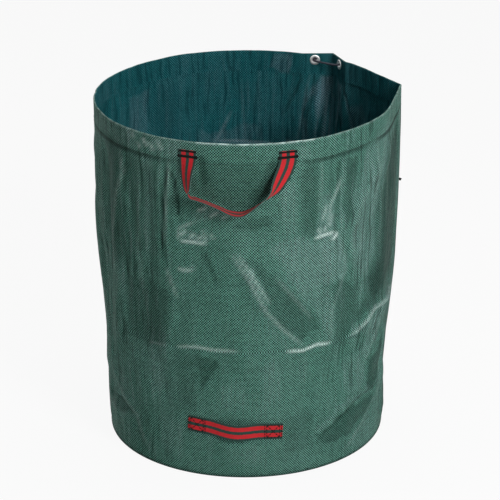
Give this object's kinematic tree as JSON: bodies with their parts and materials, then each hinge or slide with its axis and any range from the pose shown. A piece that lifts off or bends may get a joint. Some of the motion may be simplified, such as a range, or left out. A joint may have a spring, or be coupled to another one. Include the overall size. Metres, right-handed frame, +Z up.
{
  "type": "leaf bag",
  "caption": "Round open-topped garden waste bag of woven fabric with webbing carrying handles, a tipping handle and a stiffened mouth.",
  "frame": {"origin": "centre of the underside of the round base", "axes": "+Z up through the open mouth, -Y towards the side with the tipping handle, the wall's upright seam near +X"},
  "size_m": [0.6979, 0.755, 0.795],
  "materials": {
    "green_woven_fabric": "woven polypropylene tape, slightly glossy",
    "striped_webbing": "flat webbing with red and dark green stripes",
    "black_thread": "matt sewing thread",
    "hem_stiffener_plastic": "plain flat plastic strip",
    "nickel_plated_eyelet": "bright plated sheet metal",
    "dark_cord": "braided dark cord"
  },
  "bodies": {
    "base": {"base_outer_panel": "green_woven_fabric", "base_inner_panel": "green_woven_fabric", "lower_wall": "green_woven_fabric", "upper_wall": "green_woven_fabric", "base_thread": "black_thread", "lower_seam_thread": "black_thread", "upper_seam_thread": "black_thread", "seam_knot": "black_thread", "tipping_handle_end_left": "striped_webbing", "tipping_handle_end_right": "striped_webbing", "tipping_stitches_left": "black_thread", "tipping_stitches_right": "black_thread"},
    "rim": {"rim_hem": "green_woven_fabric", "hem_stiffener": "hem_stiffener_plastic", "hem_thread": "black_thread", "eyelet_left": "nickel_plated_eyelet", "eyelet_right": "nickel_plated_eyelet", "eyelet_washer_left": "nickel_plated_eyelet", "eyelet_washer_right": "nickel_plated_eyelet", "tie_cord": "dark_cord", "cord_knot_left": "dark_cord", "cord_knot_right": "dark_cord", "front_handle_tab_left": "striped_webbing", "front_handle_tab_right": "striped_webbing", "front_tab_stitches_left": "black_thread", "front_tab_stitches_right": "black_thread", "back_handle_tab_left": "striped_webbing", "back_handle_tab_right": "striped_webbing", "back_tab_stitches_left": "black_thread", "back_tab_stitches_right": "black_thread"},
    "front_handle": {"front_handle_loop": "striped_webbing"},
    "back_handle": {"back_handle_loop": "striped_webbing"},
    "tipping_handle": {"tipping_handle_grip": "striped_webbing"}
  },
  "joints": [
    {"name": "rim_slide", "type": "slide", "parent": "base", "child": "rim", "axis": [0, 0, 1], "range_m": [-0.38, 0], "deforming": ["upper_wall", "upper_seam_thread", "seam_knot"]},
    {"name": "front_handle_swing", "type": "hinge", "parent": "rim", "child": "front_handle", "pos_m": [-0.01597, -0.32648, 0.75715], "axis": [-0.9988, 0.0489, 0], "range_deg": [0, 140]},
    {"name": "back_handle_swing", "type": "hinge", "parent": "rim", "child": "back_handle", "pos_m": [0.01597, 0.32648, 0.75715], "axis": [0.9988, -0.0489, 0], "range_deg": [0, 140]},
    {"name": "tipping_handle_swing", "type": "hinge", "parent": "base", "child": "tipping_handle", "pos_m": [-0.0274, -0.31315, 0.1395], "axis": [-0.9938, 0.0869, 0.07], "range_deg": [0, 55]}
  ]
}
